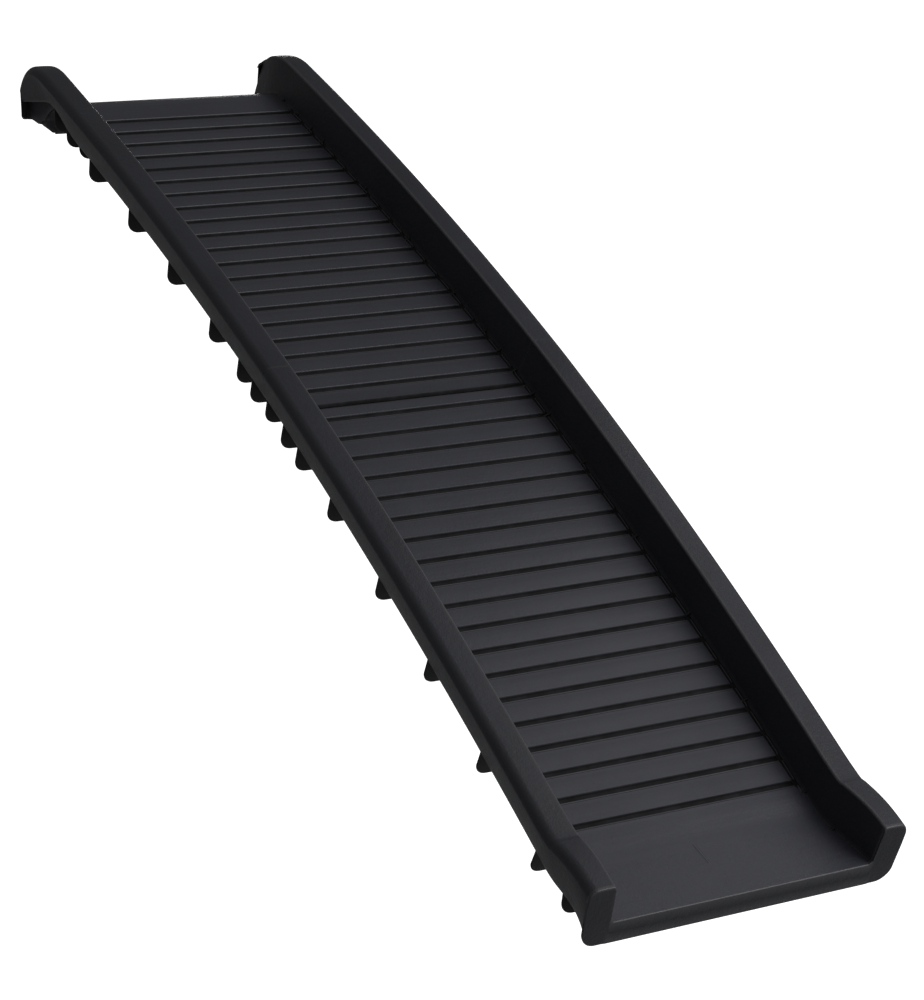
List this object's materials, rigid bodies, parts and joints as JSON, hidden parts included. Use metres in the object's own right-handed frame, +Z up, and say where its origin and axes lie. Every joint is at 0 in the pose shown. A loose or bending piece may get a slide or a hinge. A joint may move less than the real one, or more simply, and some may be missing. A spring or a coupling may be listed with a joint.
{
  "type": "dog ramp",
  "caption": "Folding black plastic pet ramp with raised side rails and grooved treads, hinged across the middle, on rubber feet.",
  "frame": {"origin": "bottom centre of the unfolded ramp, on the floor that its feet stand on", "axes": "+X along the ramp towards the landing end, +Y to its left as one walks up, +Z up"},
  "size_m": [1.5898, 0.3974, 0.1581],
  "materials": {
    "body_plastic": "fine-grained moulded black",
    "rod_steel": "zinc-plated",
    "cap_plastic": "satin black",
    "foot_rubber": "matte black"
  },
  "bodies": {
    "lower": {"lower_half": "body_plastic", "hinge_rod": "rod_steel", "hinge_cap_left": "cap_plastic", "hinge_cap_right": "cap_plastic", "foot_left": "foot_rubber", "foot_right": "foot_rubber"},
    "upper": {"upper_half": "body_plastic", "landing_pad": "foot_rubber"}
  },
  "joints": [
    {"name": "fold_hinge", "type": "hinge", "parent": "lower", "child": "upper", "pos_m": [-0.00233, 0, 0.06318], "axis": [0, 1, 0], "range_deg": [0, 171]}
  ]
}
